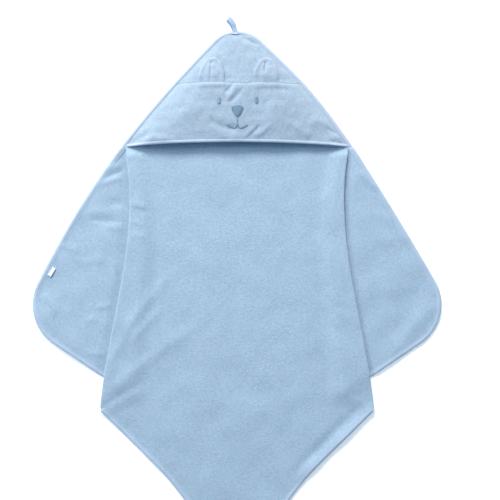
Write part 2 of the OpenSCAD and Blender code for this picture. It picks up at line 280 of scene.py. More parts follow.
# Creases, for ridges(): folds stand up and dips are pressed in.
MIDDLE_FOLDS = [
    (-292, -208, -192, -38, 1.7, 10, 0),
    (-244, -104, -112, 46, 1.6, 12, 0),
    (-232, -132, -150, -46, 1.2, 9, 0),
    (-340, -284, -40, -58, 2.0, 14, 4),
    (-286, -236, -252, -160, 1.2, 9, 0),
    (-226, 168, -186, 156, 1.2, 6, 0),
    (-226, 132, -192, 118, 0.8, 6, 0),
    (-224, 102, -188, 92, 0.9, 6, 0),
    (312, -238, 106, -436, 4.4, 10, 0),
    (300, -150, 190, -250, 0.9, 16, 0),
    (206, -52, 238, -84, 0.8, 7, 0),
    (206, 60, 232, -30, 1.2, 7, 0),
    (60, -300, 150, -215, 1.2, 24, 0),
    (-40, -330, 70, -240, 1.2, 28, 8),
    (-60, 60, 60, 150, 1.0, 30, 0),
]
MIDDLE_DIPS = [
    (286, -232, 100, -416, 1.8, 10, 0),
    (262, -196, 216, -262, 0.8, 15, 0),
    (-300, -276, -190, -206, 1.6, 9, 3),
    (-216, 158, -190, 144, 1.0, 5, 0),
]

WING_FOLDS = [
    (-278, 234, -232, 252, 1.8, 7, 0),
    (-296, 200, -234, 222, 1.7, 7, 3),
    (-330, 146, -228, 150, 1.3, 9, 0),
    (-282, 118, -230, 112, 0.9, 6, 0),
    (-376, 80, -330, 66, 1.2, 6, 0),
    (-340, 40, -270, 50, 1.2, 10, 0),
    (-300, -52, -256, -48, 1.3, 7, 0),
    (-326, -84, -286, -72, 1.2, 8, 0),
    (-322, -146, -276, -152, 1.2, 7, 0),
    (-412, -18, -378, -76, 2.0, 10, 4),
    (250, 238, 300, 190, 1.8, 9, 0),
    (262, 150, 340, 128, 1.2, 14, 0),
    (262, 84, 380, 92, 1.0, 14, 0),
    (290, -40, 380, 0, 1.0, 16, 4),
    (446, -28, 312, -196, 2.2, 16, -20),
    (-440, -40, -330, -180, 2.2, 18, 14),
]
WING_DIPS = [
    (-282, 216, -230, 238, 1.4, 5, 0),
    (-268, 172, -226, 160, 1.1, 8, 0),
    (-316, 132, -232, 126, 1.2, 6, 0),
    (404, 10, 330, -150, 1.8, 22, -10),
]


def apart(y):
    """0 at the shoulders, where a pleat's layers are sewn together, and 1 below them."""
    return smooth((TOWEL_TOP - y) / 16)


def stacked(x, y):
    """Number of layers under the top one at |x|, y, from 0 to 2, with soft steps."""
    ax = np.abs(x)
    ramp = smooth((ax - (hidden_fold_x(y) - 40)) / 38)
    count = smooth((y - under_edge_y(ax) + 28) / 46) + smooth((y - wedge_edge_y(ax) + 20) / 36)
    edge = smooth((ax - (fold_x(y) - 26)) / 20) * smooth((y + 284) / 18)
    return ramp * np.maximum(count, edge) * apart(y)


def middle_z(x, y):
    """Middle surface of the top layer, over the towel's middle and its foot."""
    wave = 0.6 + ripple(x, y, 5, 120, 1.8) + ripple(x, y, 6, 50, 0.6)
    folds = ridges(x, y, MIDDLE_FOLDS) - np.minimum(ridges(x, y, MIDDLE_DIPS), 1.2 + wave)
    return FLOOR_Z + LAYER * stacked(x, y) + np.maximum(folds + wave, 0)


def wing_z(x, y):
    """Middle surface of a wing, flat where it runs under the fold."""
    out = smooth((np.abs(x) - fold_x(y) - 1) / 22)
    wave = 0.8 + ripple(x, y, 11, 90, 2.0) + ripple(x, y, 12, 40, 0.6)
    folds = ridges(x, y, WING_FOLDS) - ridges(x, y, WING_DIPS)
    return FLOOR_Z + out * np.maximum(folds + wave, 0)


def back_z(x, y):
    """Middle surface of the hood's back, which lies flat on the floor above the hinge."""
    return FLOOR_Z + (0.6 + ripple(x, y, 5, 120, 1.8)) * smooth((300 - y) / 12)


# ---------------------------------------------------------------- the hood's front

HOOD_FOLDS = [
    (3, 417, -26, 376, 2.0, 4.8, 3),
    (-90, 411, -18, 411, 0.8, 4.0, 0),
    (12, 300, 46, 331, 2.0, 4.8, -2),
    (33, 299, 74, 335, 1.8, 5.4, -2),
    (-58, 320, 22, 303, 2.0, 9.0, -8),
    (198, 316, 240, 289, 2.6, 5.0, 0),
    (150, 344, 200, 330, 1.6, 9.0, 0),
    (-214, 300, -120, 296, 1.6, 8.0, 3),
    (-150, 330, -64, 372, 1.8, 14, 0),
    (90, 388, 60, 326, 1.6, 13, 0),
    (110, 330, 160, 300, 1.8, 9, 0),
    (-215, 302, -85, 298, 2.4, 30, 0),
]
HOOD_DIPS = [
    (-8, 416, -28, 392, 1.8, 3.6, 2),
    (20, 415, -20, 370, 1.7, 4.6, 3),
    (-98, 405, -18, 404, 0.8, 6.5, 0),
    (30, 403, 120, 404, 1.2, 6.5, 0),
    (-66, 346, 8, 322, 2.2, 7.0, -9),
    (18, 300, 52, 330, 2.4, 4.2, 0),
    (184, 326, 238, 293, 3.2, 4.5, 0),
    (186, 296, 232, 290, 1.8, 5.0, 0),
    (-232, 287, -174, 315, 2.8, 7.0, 0),
    (-52, 498, -24, 516, 2.0, 5.0, 0),
    (6, 517, 48, 496, 2.4, 5.0, 0),
    (-24, 440, 24, 440, 1.4, 14, 0),
    (75, 298, 215, 302, 1.8, 30, 0),
]


def hem_y(u):
    """The pocket's open edge, a shallow arch."""
    return HEM_LOW + HEM_ARCH * (1 - u * u)


def ear_span(x):
    """1 where an ear is sewn into the crown seam, else 0."""
    return sum(smooth((half + 6 - np.abs(x - cx)) / 10) for cx, half in EAR_PLACES.values())


def seam_y(x):
    """The crown seam, which sags where the pile is gathered under its middle."""
    return SEAM_MID - SEAM_DIP * np.exp(-(((x - 10) / 26) ** 2)) - 1.2 * smooth(x / 120)


def pinched(x, y):
    """1 where the pocket's edge is sewn flat into the towel's shoulders, else 0."""
    return smooth((np.abs(x) - 196) / 26) * smooth((312 - y) / 22)


SIDE_SLANT = 0.77  # turns a width across the hood into a distance from its slanted side
PUFF_IN, PUFF_SPAN = 8.5, 31
PUFF_Y = [284, 300, 330, 372, 404, 424, 450, 480, 524]
PUFF_RISE = [15, 16.5, 19, 20, 19.5, 17, 15, 12.5, 8]


def hood_z(x, y):
    """Middle surface of the hood's front: a puffed pocket with its crown seam and creases."""
    edge = (hood_half(y) - np.abs(x - hood_lean(y))) * SIDE_SLANT
    edge = np.minimum(edge, PUFF_TOP - y)
    puff = 1 - np.exp(-np.maximum(edge - PUFF_IN, 0) / PUFF_SPAN)
    rise = np.interp(y, PUFF_Y, PUFF_RISE)
    over = y - seam_y(x)
    middle = np.exp(-(((x - 8) / 22) ** 2))
    seam = (1.0 - 0.5 * middle) * np.exp(-(((over + 6) / 6) ** 2))
    seam = seam - 0.9 * np.exp(-((over / 1.6) ** 2))
    seam = seam - 0.8 * np.exp(-(((over - 6) / 6) ** 2))
    seam = seam + np.where(over < 0, 1.6 * ear_span(x) * smooth((over + 46) / 42), 0)
    fade = smooth((edge - 7) / 14)
    creases = ridges(x, y, HOOD_FOLDS) - ridges(x, y, HOOD_DIPS)
    wave = ripple(x, y, 21, 70, 1.3) + ripple(x, y, 22, 30, 0.7)
    return 3.6 - 0.5 * pinched(x, y) + puff * rise + fade * (seam + creases + wave)


def face_top(x, y):
    """The upper side of the hood's front, for the embroidery."""
    return hood_z(x, y) + 1.2


# ---------------------------------------------------------------- mesh making


def make(name, verts, faces, material, flat=0):
    """A mesh object; the edges of its last `flat` faces stay sharp."""
    mesh = bpy.data.meshes.new(name)
    mesh.from_pydata((np.asarray(verts) * MM).tolist(), [], faces)
    mesh.polygons.foreach_set("use_smooth", [True] * len(faces))
    if flat:
        rim = {tuple(sorted(pair)) for f in faces[-flat:] for pair in zip(f, f[1:] + f[:1])}
        sharp = mesh.attributes.new("sharp_edge", "BOOLEAN", "EDGE")
        sharp.data.foreach_set("value", [tuple(sorted(e.vertices)) in rim for e in mesh.edges])
    mesh.update()
    mesh.materials.append(material)
    obj = bpy.data.objects.new(name, mesh)
    bpy.context.scene.collection.objects.link(obj)
    return obj


def grid_normals(grid):
    """Unit normals at the points of a rows x columns x 3 grid."""
    down, across = np.gradient(grid, axis=0), np.gradient(grid, axis=1)
    n = np.cross(across, down)
    return n / np.maximum(np.linalg.norm(n, axis=2), 1e-9)[:, :, None]


def quads(a, b, c, d):
    """Faces from four arrays of corner numbers."""
    return np.stack([a.ravel(), b.ravel(), c.ravel(), d.ravel()], 1).tolist()


def skin_faces(rows, cols):
    """Quads of the two faces of a grid, and apart from them those of its four rims."""
    at = np.arange(rows * cols).reshape(rows, cols)
    low = at + rows * cols
    skin = quads(at[:-1, :-1], at[1:, :-1], at[1:, 1:], at[:-1, 1:])
    skin += quads(low[:-1, :-1], low[:-1, 1:], low[1:, 1:], low[1:, :-1])
    rims = []
    for side in (np.s_[0], np.s_[-1, ::-1], np.s_[::-1, 0], np.s_[:, -1]):
        top, bottom = at[side], low[side]
        rims += quads(top[:-1], top[1:], bottom[1:], bottom[:-1])
    return skin, rims


def thick_sheet(name, grid, thickness, material):
    """A sheet of cloth with two faces, from the grid of its middle surface."""
    n = grid_normals(grid)
    if n[:, :, 2].mean() < 0:
        grid, n = grid[:, ::-1], -n[:, ::-1]
    half = n * (np.asarray(thickness) / 2)
    verts = np.concatenate([(grid + half).reshape(-1, 3), (grid - half).reshape(-1, 3)])
    skin, rims = skin_faces(*grid.shape[:2])
    return make(name, verts, skin + rims, material, flat=len(rims))


def ring_faces(rings, sides):
    """Faces of a tube of rings of points, with a cap on each end."""
    at = np.arange(rings * sides).reshape(rings, sides)
    nxt = np.roll(at, -1, axis=1)
    caps = [at[0].tolist(), at[-1][::-1].tolist()]
    return quads(at[:-1], at[1:], nxt[1:], nxt[:-1]) + caps


def swept_tape(name, path, side, height, material, swell=1.0):
    """TAPE_SECTION swept along an edge. What is higher than 1 mm in it is scaled by swell."""
    n = inward(path, side)
    verts = np.zeros((len(path), len(TAPE_SECTION), 3))
    for k, (d, z) in enumerate(TAPE_SECTION):
        xy = path + n * d
        verts[:, k, :2] = xy
        verts[:, k, 2] = height(xy[:, 0], xy[:, 1]) + z * (swell if z > 1 else 1)
    faces = ring_faces(*verts.shape[:2])
    if side < 0:
        faces = [f[::-1] for f in faces]
    return make(name, verts.reshape(-1, 3), faces, material)


def tubes(name, lines, radius, material, flat=0.8, sides=8):
    """Threads: one mesh of tapered tubes along lines of 3-D points, `flat` times as high as wide."""
    verts, faces, start = [], [], 0
    angles = np.arange(sides) * 2 * math.pi / sides
    for line in lines:
        line = np.array(line, float)
        t = np.gradient(line, axis=0)
        t /= np.linalg.norm(t, axis=1)[:, None]
        side = np.cross(t, [0, 0, 1])
        side /= np.linalg.norm(side, axis=1)[:, None]
        up = np.cross(side, t)
        s = np.linspace(-1, 1, len(line))
        r = radius * np.sqrt(np.clip(1 - np.abs(s) ** 6 * 0.85, 0, 1))
        ring = (
            line[:, None]
            + r[:, None, None] * np.cos(angles)[None, :, None] * side[:, None]
            + r[:, None, None] * flat * np.sin(angles)[None, :, None] * up[:, None]
        )
        verts.append(ring.reshape(-1, 3))
        faces += [[v + start for v in f] for f in ring_faces(len(line), sides)]
        start += ring.shape[0] * sides
    return make(name, np.concatenate(verts), faces, material)


# ---------------------------------------------------------------- materials


def linear(rgb):
    """Linear values of a colour given in 0 to 255."""
    c = np.array(rgb, float) / 255
    return [float(v) for v in np.where(c <= 0.04045, c / 12.92, ((c + 0.055) / 1.055) ** 2.4)]


class Shader:
    """Builds a node material with few words."""

    def __init__(self, name):
        self.material = bpy.data.materials.new(name)
        self.material.use_nodes = True
        self.tree = self.material.node_tree
        self.bsdf = self.tree.nodes["Principled BSDF"]
        self.where = self.tree.nodes.new("ShaderNodeTexCoord").outputs["Object"]

    def put(self, socket, value):
        if isinstance(value, bpy.types.NodeSocket):
            self.tree.links.new(value, socket)
        else:
            socket.default_value = value

    def add(self, kind, out=0, settings=(), **inputs):
        """A node's output. An input is given by its name or, as i0 and so on, by its number."""
        node = self.tree.nodes.new(kind)
        for key, value in settings:
            setattr(node, key, value)
        for key, value in inputs.items():
            by_number = key[0] == "i" and key[1:].isdigit()
            self.put(node.inputs[int(key[1:]) if by_number else key.replace("_", " ")], value)
        return node.outputs[out]

    def noise(self, scale, detail, rough):
        kind = "ShaderNodeTexNoise"
        return self.add(kind, Vector=self.where, Scale=scale, Detail=detail, Roughness=rough)

    def math(self, what, a, b):
        return self.add("ShaderNodeMath", settings=[("operation", what)], i0=a, i1=b)

    def spread(self, value, low, high, to_low, to_high):
        """The value, with its range from low to high mapped to another one."""
        return self.add(
            "ShaderNodeMapRange", Value=value, From_Min=low, From_Max=high, To_Min=to_low, To_Max=to_high
        )

    def varied(self, texture, to_low, to_high):
        """A noise's usual range mapped to another one."""
        return self.spread(texture, 0.3, 0.7, to_low, to_high)

    def tinted(self, rgb, factor):
        """A colour multiplied by a grey factor."""
        return self.add("ShaderNodeVectorMath", settings=[("operation", "SCALE")], i0=rgb, Scale=factor)

    def finish(self, color, height, distance, strength, rough, sheen=0.0, specular=0.25):
        bump = self.add("ShaderNodeBump", Height=height, Strength=strength, Distance=distance)
        self.put(self.bsdf.inputs["Base Color"], color)
        self.put(self.bsdf.inputs["Normal"], bump)
        self.put(self.bsdf.inputs["Roughness"], rough)
        self.bsdf.inputs["Sheen Weight"].default_value = sheen
        self.bsdf.inputs["Sheen Roughness"].default_value = 0.6
        self.bsdf.inputs["Specular IOR Level"].default_value = specular
        return self.material


def terry(name, rgb):
    """Short, fuzzy, heathered pile, with painted shade between its loops."""
    s = Shader(name)
    clumps = s.noise(190, 4, 0.65)
    broad = s.noise(28, 2, 0.5)
    flecks = s.noise(820, 4, 0.7)
    loops = s.add("ShaderNodeTexVoronoi", Vector=s.where, Scale=520.0, Randomness=1.0)
    hue = s.spread(s.noise(120, 3, 0.6), 0.35, 0.65, 0.0, 1.0)
    rgb = np.array(rgb, float)
    cool, warm = linear(rgb + (-2.5, 1, 0)), linear(rgb + (2, -1, 0.5))
    colours = {"i6": (*cool, 1), "i7": (*warm, 1)}
    color = s.add("ShaderNodeMix", out=2, settings=[("data_type", "RGBA")], i0=hue, **colours)
    tone = s.varied(clumps, 0.88, 1.11)
    tone = s.math("MULTIPLY", tone, s.varied(broad, 0.97, 1.03))
    tone = s.math("MULTIPLY", tone, s.varied(flecks, 0.93, 1.07))
    # Painted shade: the tone falls off away from the middle of each pile loop.
    tone = s.math("MULTIPLY", tone, s.spread(loops, 0.0, 0.8, 1.03, 0.93))
    height = s.math("ADD", s.math("MULTIPLY", loops, -0.5), s.math("MULTIPLY", clumps, 0.8))
    height = s.math("ADD", height, flecks)
    rough = s.varied(flecks, 0.88, 1.0)
    return s.finish(s.tinted(color, tone), height, 0.0016, 0.5, rough, sheen=0.5, specular=0.1)


def woven(name, rgb, pitch=0.55, strength=0.4, sheen=0.15, rough=0.75):
    """Fine plain-woven tape: two crossed sets of yarns and a little unevenness."""
    s = Shader(name)
    rgb = linear(rgb)
    size = 1 / (pitch * MM * 2 * math.pi)

    def yarns(way):
        kind, settings = "ShaderNodeTexWave", [("bands_direction", way)]
        return s.add(kind, Vector=s.where, Scale=size, Distortion=0.6, settings=settings)

    weave = s.math("MAXIMUM", yarns("X"), yarns("Y"))
    uneven = s.noise(160, 4, 0.6)
    tone = s.math("MULTIPLY", s.spread(weave, 0, 1, 0.94, 1.03), s.varied(uneven, 0.95, 1.05))
    height = s.math("ADD", weave, s.math("MULTIPLY", uneven, 1.5))
    matt = s.varied(uneven, rough - 0.06, rough + 0.1)
    return s.finish(s.tinted(rgb, tone), height, 0.0004, strength, matt, sheen)


def thread(name, rgb):
    """Satin embroidery thread: fine strands and a soft gloss."""
    s = Shader(name)
    rgb = linear(rgb)
    strands = s.noise(1800, 2, 0.5)
    uneven = s.noise(300, 3, 0.5)
    tone = s.math("MULTIPLY", s.varied(strands, 0.9, 1.08), s.varied(uneven, 0.95, 1.05))
    return s.finish(s.tinted(rgb, tone), strands, 0.0003, 0.4, s.varied(strands, 0.45, 0.62), 0.1, 0.4)


# Colours are sRGB values from 0 to 255.
BLUE = terry("terry_blue", (158, 182, 204))
# Painted light: a lighter copy of the towel's pile for the pocket's back layer, lifting the shade under
# the hem.
POCKET_LIT_BLUE = terry("terry_inside_painted_light", (163, 191, 217))
# Painted shade: the hood is the towel's own pile, made darker here because its puffed front faces the
# lamps more.
HOOD_SHADED_BLUE = terry("terry_hood_painted_shade", (154, 174, 194))
# Painted shade: a darker copy of the towel's pile for the ears' back layers.
BACK_SHADED_BLUE = terry("terry_back_painted_shade", (148, 173, 197))
EAR = terry("terry_ear_lavender", (157, 175, 196))
TAPE = woven("binding_lavender", (168, 187, 208))
# Painted light: the same binding tape, made lighter on the hood, where it lies below the puffed front's
# edge.
HOOD_LIT_TAPE = woven("hood_binding_painted_light", (175, 189, 209))
LOOP_TAPE = woven("loop_tape", (160, 180, 206), pitch=0.7, strength=0.55)
LABEL = woven("label_white", (226, 227, 232), pitch=0.35, strength=0.2, sheen=0.05, rough=0.45)
STITCH = thread("topstitch_thread", (170, 190, 216))
EMBROIDERY = thread("embroidery_thread", (107, 134, 160))
EYE_THREAD = thread("eye_thread", (120, 147, 173))
DARK_THREAD = thread("outline_thread", (104, 132, 161))
PALE_THREAD = thread("tack_thread", (206, 218, 232))
# Painted light: the hem's own binding tape, made lighter than the edge binding so its rolled edge looks
# lit.
HEM_LIT_TAPE = woven("hem_tape", (175, 190, 211))


# ---------------------------------------------------------------- pieces of the square


def half_section(y_low, side):
    """Grid of one half of the pleated middle, from the centre line out and under, twice."""
    s = np.linspace(0, 1, 140)[:, None]

    def rows_to(low):
        return lerp(TOWEL_TOP, low, s)

    # The top layer, out to the visible fold.
    y = rows_to(y_low)
    edge = fold_x(y) - FOLD_OUT
    x = edge * np.linspace(0, 1, 62)[None, :]
    parts = [(x, y + 0 * x, middle_z(side * x, y))]
    # The roll of the visible fold, down to the wedge layer.
    top = middle_z(side * edge, y)
    r = LAYER / 2 * np.maximum(apart(y), 0.1)
    wedge = top - 2 * r
    for a in np.linspace(70, -90, 7):
        x = edge + r * math.cos(math.radians(a))
        parts.append((x, y, (top + wedge) / 2 + r * math.sin(math.radians(a))))
    # The wedge layer, back in to the hidden fold.
    for share in (0.33, 0.67):
        yy = rows_to(lerp(y_low, WEDGE_LOW, share))
        x = lerp(fold_x(yy) - FOLD_OUT, hidden_fold_x(yy) + FOLD_OUT, share)
        parts.append((x, yy, FLOOR_Z + LAYER * smooth((yy - under_edge_y(x)) / 20) * apart(yy)))
    # The roll of the hidden fold, down to the under layer.
    yy = rows_to(WEDGE_LOW)
    inner = hidden_fold_x(yy) + FOLD_OUT
    room = LAYER / 2 * smooth((yy - under_edge_y(inner)) / 20) * apart(yy)
    for a in np.linspace(90, 270, 7):
        x = inner + LAYER / 2 * math.cos(math.radians(a))
        parts.append((x, yy, FLOOR_Z + room * (1 + math.sin(math.radians(a)))))
    # The under layer, out to where the wing takes over.
    yy = rows_to(UNDER_LOW)
    x = np.maximum(fold_x(yy) - 24, hidden_fold_x(yy) + 5)
    parts.append((x, yy, FLOOR_Z + 0 * x))
    grid = np.concatenate([np.stack(np.broadcast_arrays(*p), 2) for p in parts], 1)
    grid[:, :, 0] *= side
    return grid


def towel_middle():
    right, left = half_section(TOWEL_LOW, 1), half_section(TOWEL_LOW, -1)
    grid = np.concatenate([left[:, :0:-1], right], 1)
    obj = thick_sheet("towel_middle", grid, CLOTH - 0.1, BLUE)
    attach(obj, "towel")
    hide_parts("centre_panel", "left_pleat", "right_pleat")


def blend_over_chord(obj):
    """Bakes a piece's placement into its mesh; the direction across the fold line is worked out but not
    used, and nothing bends the piece.
    """
    out = np.array([CHORD_TOP[1] - CHORD_LOW[1], CHORD_LOW[0] - CHORD_TOP[0]])
    out = out / np.linalg.norm(out)
    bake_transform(obj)


def wing_cloth(side, name):
    """One wing, from under the visible fold out to its binding."""
    y = lerp(HOOD_LINE - 2.5, WING_LOW, np.linspace(0, 1, 150))[:, None]
    first = np.maximum(fold_x(y) - 22, hidden_fold_x(y) + 6)
    last = np.maximum(wing_half(side, y, SHEET_IN), first + 0.5)
    x = lerp(first, last, np.linspace(0, 1, 62)[None, :])
    yy = y + 0 * x
    grid = np.stack([side * x, yy, wing_z(side * x, yy)], 2)
    obj = thick_sheet(f"{name}_cloth", grid, CLOTH - 0.2, BLUE)
    blend_over_chord(obj)
    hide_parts(f"{name}_panel")


def foot_cloth():
    y = lerp(TOWEL_LOW, FOOT_LOW, np.linspace(0, 1, 100))[:, None]
    x = np.maximum(foot_half(y, SHEET_IN), 1.0) * np.linspace(-1, 1, 141)[None, :]
    yy = y + 0 * x
    grid = np.stack([x, yy, middle_z(x, yy)], 2)
    obj = thick_sheet("foot_cloth", grid, CLOTH - 0.1, BLUE)
    blend_over_foot(obj)
    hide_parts("foot_panel")


def blend_over_foot(obj):
    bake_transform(obj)


def hood_back():
    """The pocket's back layer, which goes over into the towel's middle within `meet` of the hinge."""
    meet = 8
    y = lerp(TOWEL_TOP, BACK_TOP, np.linspace(0, 1, 80))[:, None]
    u = np.linspace(-1, 1, 110)[None, :]
    half = np.where(y < HOOD_LINE, chord_x(y), np.maximum(hood_half(y, SHEET_IN), 3.0))
    x = u * half + np.abs(u) * hood_lean(y)
    yy = y + 0 * x
    joined = lerp(middle_z(x, yy), back_z(x, yy), smooth((yy - HOOD_LINE) / meet))
    z = np.where(yy < HOOD_LINE + meet, joined, back_z(x, yy))
    # The back layer takes the lighter copy of the pile: painted light in the pocket's opening.
    obj = thick_sheet("hood_back_cloth", np.stack([x, yy, z], 2), CLOTH - 0.1, POCKET_LIT_BLUE)
    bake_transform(obj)
    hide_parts("hood_back_panel", "hood_seam_margin")


# ---------------------------------------------------------------- the hood's front pieces


def front_grid(columns, rows, half_width, low, high):
    """x and y over the hood's front, from low(x, u) to high(x, u). Six rounds settle x and y together."""
    u = np.linspace(-1, 1, columns)[None, :]
    v = np.linspace(0, 1, rows)[:, None]
    x = u * half_width + 0 * v
    for _ in range(6):
        y = lerp(low(x, u), high(x, u), v)
        x = hood_across(u, y, FRONT_IN)
    return x, y


def hood_face():
    x, y = front_grid(171, 60, 230.0, lambda x, u: hem_y(u), lambda x, u: seam_y(x) - 0.5)
    thickness = (2.4 - 1.2 * pinched(x, y))[:, :, None]
    # The hood's front takes the darker copy of the pile: painted shade.
    obj = thick_sheet("hood_face_cloth", np.stack([x, y, hood_z(x, y)], 2), thickness, HOOD_SHADED_BLUE)
    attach(obj, "hood")
    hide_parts("hood_face_panel")


def hood_crown():
    x, y = front_grid(131, 56, 120.0, lambda x, u: seam_y(x) + 0.5, lambda x, u: CROWN_TOP)
    # The crown takes the darker copy of the pile: painted shade.
    obj = thick_sheet("hood_crown_cloth", np.stack([x, y, hood_z(x, y)], 2), 2.4, HOOD_SHADED_BLUE)
    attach(obj, "hood")
    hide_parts("hood_crown_panel")


def crown_seam_tape():
    """The tape over the seam, inside the pocket."""
    x = np.linspace(-126, 128, 90)[None, :]
    off = np.linspace(-4.5, 4.5, 5)[:, None]
    y = seam_y(x) + off
    z = (hood_z(x, y) - 2.1).min(axis=0)[None, :] + 0 * off
    obj = thick_sheet("crown_seam_binding", np.stack([x + 0 * off, y, z], 2), 0.7, TAPE)
    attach(obj, "hood")
    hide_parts("crown_seam_tape")


# Across the hem tape, from its upper side round the edge: (distance in, height over the cloth).
HEM_SECTION = [
    (4.6, 1.1), (4.0, 1.4), (3.0, 1.6), (1.8, 1.7), (0.6, 1.6), (-0.5, 1.1), (-1.0, 0.1),
    (-0.6, -1.1), (0.4, -1.7), (3.0, -1.8), (6.0, -1.6),
]


def hood_hem():
    """The tape turned round the pocket's open edge."""
    u = np.linspace(-1, 1, 171)
    rows = []
    for d, rise in HEM_SECTION:
        y = hem_y(u) + d
        inside = np.maximum(y, hem_y(u))
        x = hood_across(u, inside, HEM_IN)
        rows.append(np.stack([x, y, hood_z(x, inside) + rise * (1 - 0.5 * pinched(x, y))], 1))
    # The hem takes the lighter copy of the tape: painted light on its rolled edge.
    obj = thick_sheet("hood_hem_tape", np.stack(rows, 0), 0.9, HEM_LIT_TAPE)
    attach(obj, "hood")
    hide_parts("hood_hem")


# ---------------------------------------------------------------- edge binding and its stitches

# The binding's closed section: (distance in from the outline, height).
TAPE_SECTION = [
    (11.4, 2.35), (11.0, 3.0), (10.2, 2.75), (9.3, 2.25), (8.3, 2.8), (6.4, 3.35), (4.2, 3.4),
    (2.2, 3.1), (0.8, 2.5), (0.1, 1.7), (0.3, 0.9), (1.4, 0.3), (4.0, 0.08), (8.0, 0.08), (11.2, 0.25),
]
STITCH_IN, STITCH_Z = 9.4, 2.45
STITCH_PITCH, STITCH_LENGTH, STITCH_RADIUS = 4.0, 2.7, 0.42


def stitches_along(name, path, side, height):
    """A row of stitches beside an edge, each one sunk into the tape at both ends."""
    line = dense(inset(path, side, STITCH_IN), STITCH_PITCH)
    t = np.gradient(line, axis=0)
    t /= np.linalg.norm(t, axis=1)[:, None]
    lines = []
    for p, d in zip(line, t):
        pts = p + d * np.linspace(-0.5, 0.5, 5)[:, None] * STITCH_LENGTH
        z = height(pts[:, 0], pts[:, 1]) + np.array([-0.25, 0.05, 0.15, 0.05, -0.25])
        lines.append(np.column_stack([pts, z]))
    return tubes(name, lines, STITCH_RADIUS, STITCH, sides=6)


def lift_of(surface):
    """How far the cloth at x, y stands above lying flat."""
    return lambda x, y: surface(x, y) - FLOOR_Z


def swell_at(y):
    """How much taller the binding is on the hood, where it holds one more layer, than on the wings."""
    return 1.0 + 0.35 * smooth((y - 240) / 40) + 0.3 * smooth((y - HOOD_LINE) / 30)


def wing_binding(side, name):
    path = WINGS[side][WINGS[side][:, 1] > WING_TAPE_LOW] * np.array([side, 1])
    turn = -side
    swell = swell_at(path[:, 1])
    tape = swept_tape(f"{name}_binding_tape", path, turn, lift_of(wing_z), TAPE, swell)
    thread_line = stitches_along(
        f"{name}_binding_stitches", path, turn,
        lambda x, y: wing_z(x, y) - FLOOR_Z + STITCH_Z * swell_at(y),
    )
    for obj in (tape, thread_line):
        blend_over_chord(obj)
    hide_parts(f"{name}_binding")


def foot_binding():
    path = np.concatenate([FOOT, mirrored(FOOT)[1:]])
    tape = swept_tape("foot_binding_tape", path, -1, lift_of(middle_z), TAPE)
    thread_line = stitches_along(
        "foot_binding_stitches", path, -1, lambda x, y: middle_z(x, y) - FLOOR_Z + STITCH_Z
    )
    for obj in (tape, thread_line):
        blend_over_foot(obj)
    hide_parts("foot_binding")


def hood_binding():
    path = np.concatenate([HOOD, mirrored(HOOD)[1:]])
    path = path[path[:, 1] > HOOD_LINE - 1.4]
    path[:, 0] += hood_lean(path[:, 1])
    swell = swell_at(path[:, 1])
    # The hood's binding takes the lighter copy of the tape: painted light.
    tape = swept_tape("hood_binding_tape", path, 1, lambda x, y: 0 * x, HOOD_LIT_TAPE, swell)
    thread_line = stitches_along("hood_binding_stitches", path, 1, lambda x, y: STITCH_Z * swell_at(y))
    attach(tape, "hood")
    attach(thread_line, "hood")
    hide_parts("hood_binding")


# ---------------------------------------------------------------- face


SATIN_PITCH = 0.95


def satin(name, cx, cy, half_h, half_w, node, material):
    """Side-by-side threads that fill a shape whose half width is half_w(v), v from -1 to 1."""
    lines = []
    for k, y in enumerate(np.arange(cy - half_h, cy + half_h + 0.01, SATIN_PITCH)):
        w = half_w((y - cy) / half_h)
        if w < 0.8:
            continue
        w += 0.25 * (-1) ** k
        x = np.linspace(cx - w, cx + w, 13)
        dome = 1.3 * np.sqrt(np.clip(1 - ((x - cx) / (w + 0.5)) ** 2, 0, 1))
        lines.append(np.column_stack([x, y + 0 * x, face_top(x, y) + 0.1 + dome]))
    obj = tubes(name, lines, 0.72, material, flat=0.9)
    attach(obj, "hood")
    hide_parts(node)


def oval(half_w):
    """Half width of an upright oval."""
    return lambda v: half_w * math.sqrt(max(0.0, 1 - v * v))


def nose_shape(v):
    """Half width of a rounded triangle, wide above."""
    top = math.sqrt(max(0.0, 1 - max(0.0, (v - 0.45) / 0.55) ** 2.2))
    low = max(0.0, (v + 1) / 1.45) ** 0.62
    return NOSE_HALF_WIDTH * min(top, low)


def nose_outline():
    """A darker thread couched round the nose."""
    v = np.linspace(-1, 0.995, 30)
    right = np.column_stack([[nose_shape(k) for k in v], NOSE_Y + NOSE_RIM * v])
    ring = dense(np.concatenate([right, right[::-1] * (-1, 1), right[:1]]) + (FACE_X, 0), 1.6)
    z = face_top(ring[:, 0], ring[:, 1]) + 0.7
    obj = tubes("nose_outline_thread", [np.column_stack([ring, z])], 0.75, DARK_THREAD)
    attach(obj, "hood")


def backstitch(name, points, node, step=4.2):
    """A line of dark stitches that touch end to end."""
    path = dense(points, step)
    lines = []
    for a, b in zip(path[:-1], path[1:]):
        p = lerp(a, b, np.linspace(-0.08, 1.08, 6)[:, None])
        hump = 0.5 + 0.5 * np.sin(np.linspace(0, math.pi, 6))
        lines.append(np.column_stack([p, face_top(p[:, 0], p[:, 1]) + hump]))
    obj = tubes(name, lines, 0.7, DARK_THREAD)
    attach(obj, "hood")
    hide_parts(node)


